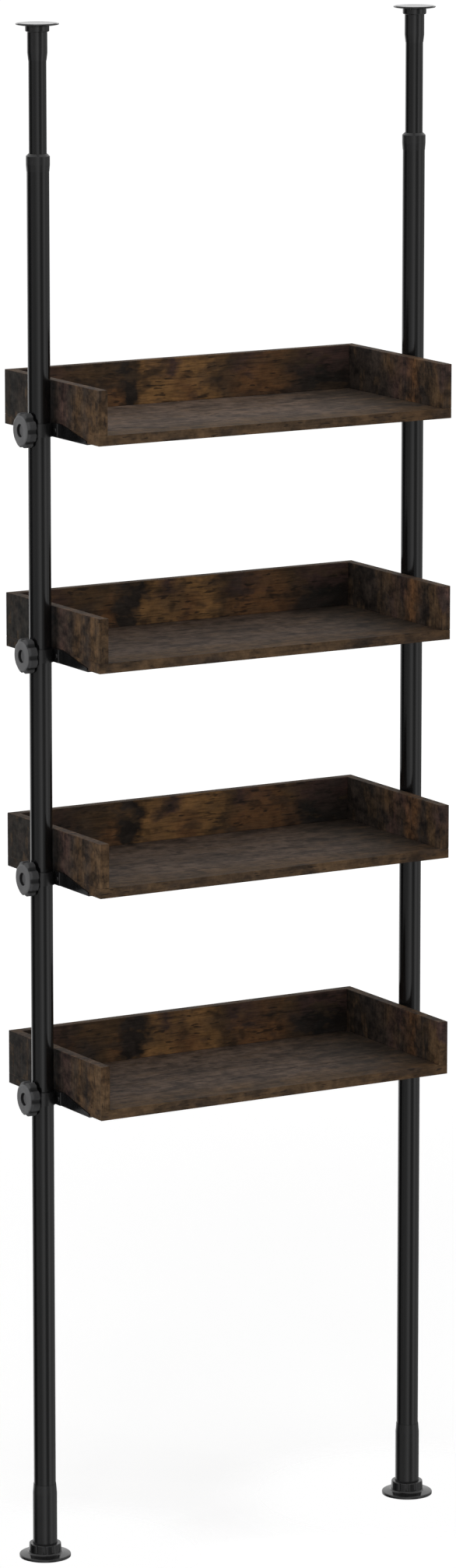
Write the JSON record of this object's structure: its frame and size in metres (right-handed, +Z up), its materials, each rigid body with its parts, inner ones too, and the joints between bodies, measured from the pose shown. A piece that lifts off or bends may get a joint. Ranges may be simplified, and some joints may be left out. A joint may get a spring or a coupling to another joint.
{
  "type": "tension pole shelf unit",
  "caption": "Floor-to-ceiling shelf unit: telescopic poles with jacking feet and ceiling discs carry open wooden trays on clamps with hand knobs.",
  "frame": {"origin": "on the floor, midway between the two poles, below the middle of the trays", "axes": "+Z up along the poles, +X towards the right pole, -Y towards the trays' open front"},
  "size_m": [0.7174, 0.284, 2.3],
  "materials": {
    "wood_boards": "rustic dark brown wood grain, satin",
    "powder_coat": "black powder coat, semi-gloss",
    "black_plastic": "fine moulded texture",
    "knob_plastic": "dark grey, satin moulded",
    "lock_plastic": "natural moulded plastic",
    "rubber_pads": "dark grey, matt",
    "zinc_steel": "zinc plated"
  },
  "bodies": {
    "poles": {"left_lower_tube": "powder_coat", "left_tube_collar": "black_plastic", "right_lower_tube": "powder_coat", "right_tube_collar": "black_plastic"},
    "left_lock_ring": {"left_lock_ring": "lock_plastic"},
    "left_upper_pole": {"left_upper_tube": "powder_coat", "left_lock_spigot": "lock_plastic", "left_ceiling_cap": "black_plastic", "left_ceiling_pad": "rubber_pads"},
    "left_foot_sleeve": {"left_foot_sleeve": "black_plastic"},
    "left_foot": {"left_foot_base": "black_plastic", "left_foot_pad": "rubber_pads"},
    "right_lock_ring": {"right_lock_ring": "lock_plastic"},
    "right_upper_pole": {"right_upper_tube": "powder_coat", "right_lock_spigot": "lock_plastic", "right_ceiling_cap": "black_plastic", "right_ceiling_pad": "rubber_pads"},
    "right_foot_sleeve": {"right_foot_sleeve": "black_plastic"},
    "right_foot": {"right_foot_base": "black_plastic", "right_foot_pad": "rubber_pads"},
    "bottom_shelf": {"bottom_shelf_floor_board": "wood_boards", "bottom_shelf_back_board": "wood_boards", "bottom_shelf_left_board": "wood_boards", "bottom_shelf_right_board": "wood_boards", "bottom_shelf_left_bracket": "powder_coat", "bottom_shelf_right_bracket": "powder_coat", "bottom_shelf_clamps": "black_plastic", "bottom_shelf_screws": "zinc_steel"},
    "bottom_left_knob": {"bottom_shelf_left_knob": "knob_plastic"},
    "bottom_right_knob": {"bottom_shelf_right_knob": "knob_plastic"},
    "lower_shelf": {"lower_shelf_floor_board": "wood_boards", "lower_shelf_back_board": "wood_boards", "lower_shelf_left_board": "wood_boards", "lower_shelf_right_board": "wood_boards", "lower_shelf_left_bracket": "powder_coat", "lower_shelf_right_bracket": "powder_coat", "lower_shelf_clamps": "black_plastic", "lower_shelf_screws": "zinc_steel"},
    "lower_left_knob": {"lower_shelf_left_knob": "knob_plastic"},
    "lower_right_knob": {"lower_shelf_right_knob": "knob_plastic"},
    "upper_shelf": {"upper_shelf_floor_board": "wood_boards", "upper_shelf_back_board": "wood_boards", "upper_shelf_left_board": "wood_boards", "upper_shelf_right_board": "wood_boards", "upper_shelf_left_bracket": "powder_coat", "upper_shelf_right_bracket": "powder_coat", "upper_shelf_clamps": "black_plastic", "upper_shelf_screws": "zinc_steel"},
    "upper_left_knob": {"upper_shelf_left_knob": "knob_plastic"},
    "upper_right_knob": {"upper_shelf_right_knob": "knob_plastic"},
    "top_shelf": {"top_shelf_floor_board": "wood_boards", "top_shelf_back_board": "wood_boards", "top_shelf_left_board": "wood_boards", "top_shelf_right_board": "wood_boards", "top_shelf_left_bracket": "powder_coat", "top_shelf_right_bracket": "powder_coat", "top_shelf_clamps": "black_plastic", "top_shelf_screws": "zinc_steel"},
    "top_left_knob": {"top_shelf_left_knob": "knob_plastic"},
    "top_right_knob": {"top_shelf_right_knob": "knob_plastic"}
  },
  "joints": [
    {"name": "left_pole_slide", "type": "slide", "parent": "poles", "child": "left_lock_ring", "axis": [0, 0, 1], "range_m": [-0.13, 0.45]},
    {"name": "left_pole_twist", "type": "hinge", "parent": "left_lock_ring", "child": "left_upper_pole", "pos_m": [-0.32, 0, 1.5], "axis": [0, 0, 1], "range_deg": [0, 180]},
    {"name": "left_sleeve_turn", "type": "hinge", "parent": "poles", "child": "left_foot_sleeve", "pos_m": [-0.32, 0, 0.06], "axis": [0, 0, 1], "range_deg": [0, 1800]},
    {"name": "left_foot_jack", "type": "slide", "parent": "poles", "child": "left_foot", "axis": [0, 0, -1], "range_m": [0, 0.02]},
    {"name": "right_pole_slide", "type": "slide", "parent": "poles", "child": "right_lock_ring", "axis": [0, 0, 1], "range_m": [-0.13, 0.45]},
    {"name": "right_pole_twist", "type": "hinge", "parent": "right_lock_ring", "child": "right_upper_pole", "pos_m": [0.32, 0, 1.5], "axis": [0, 0, 1], "range_deg": [0, 180]},
    {"name": "right_sleeve_turn", "type": "hinge", "parent": "poles", "child": "right_foot_sleeve", "pos_m": [0.32, 0, 0.06], "axis": [0, 0, 1], "range_deg": [0, 1800]},
    {"name": "right_foot_jack", "type": "slide", "parent": "poles", "child": "right_foot", "axis": [0, 0, -1], "range_m": [0, 0.02]},
    {"name": "bottom_shelf_slide", "type": "slide", "parent": "poles", "child": "bottom_shelf", "axis": [0, 0, 1], "range_m": [-0.57, 0.12]},
    {"name": "bottom_left_knob_turn", "type": "hinge", "parent": "bottom_shelf", "child": "bottom_left_knob", "pos_m": [-0.347, 0, 0.7096], "axis": [-1, 0, 0], "range_deg": [0, 540]},
    {"name": "bottom_right_knob_turn", "type": "hinge", "parent": "bottom_shelf", "child": "bottom_right_knob", "pos_m": [0.347, 0, 0.7096], "axis": [1, 0, 0], "range_deg": [0, 540]},
    {"name": "lower_shelf_slide", "type": "slide", "parent": "poles", "child": "lower_shelf", "axis": [0, 0, 1], "range_m": [-0.12, 0.12]},
    {"name": "lower_left_knob_turn", "type": "hinge", "parent": "lower_shelf", "child": "lower_left_knob", "pos_m": [-0.347, 0, 1.0429], "axis": [-1, 0, 0], "range_deg": [0, 540]},
    {"name": "lower_right_knob_turn", "type": "hinge", "parent": "lower_shelf", "child": "lower_right_knob", "pos_m": [0.347, 0, 1.0429], "axis": [1, 0, 0], "range_deg": [0, 540]},
    {"name": "upper_shelf_slide", "type": "slide", "parent": "poles", "child": "upper_shelf", "axis": [0, 0, 1], "range_m": [-0.12, 0.12]},
    {"name": "upper_left_knob_turn", "type": "hinge", "parent": "upper_shelf", "child": "upper_left_knob", "pos_m": [-0.347, 0, 1.3762], "axis": [-1, 0, 0], "range_deg": [0, 540]},
    {"name": "upper_right_knob_turn", "type": "hinge", "parent": "upper_shelf", "child": "upper_right_knob", "pos_m": [0.347, 0, 1.3762], "axis": [1, 0, 0], "range_deg": [0, 540]},
    {"name": "top_shelf_slide", "type": "slide", "parent": "poles", "child": "top_shelf", "axis": [0, 0, 1], "range_m": [-0.12, 0.36]},
    {"name": "top_left_knob_turn", "type": "hinge", "parent": "top_shelf", "child": "top_left_knob", "pos_m": [-0.347, 0, 1.7095], "axis": [-1, 0, 0], "range_deg": [0, 540]},
    {"name": "top_right_knob_turn", "type": "hinge", "parent": "top_shelf", "child": "top_right_knob", "pos_m": [0.347, 0, 1.7095], "axis": [1, 0, 0], "range_deg": [0, 540]}
  ],
  "couplings": [
    {"joint": "left_sleeve_turn", "follows": "left_foot_jack", "rad_per_m": 1570.8},
    {"joint": "right_sleeve_turn", "follows": "right_foot_jack", "rad_per_m": 1570.8}
  ]
}
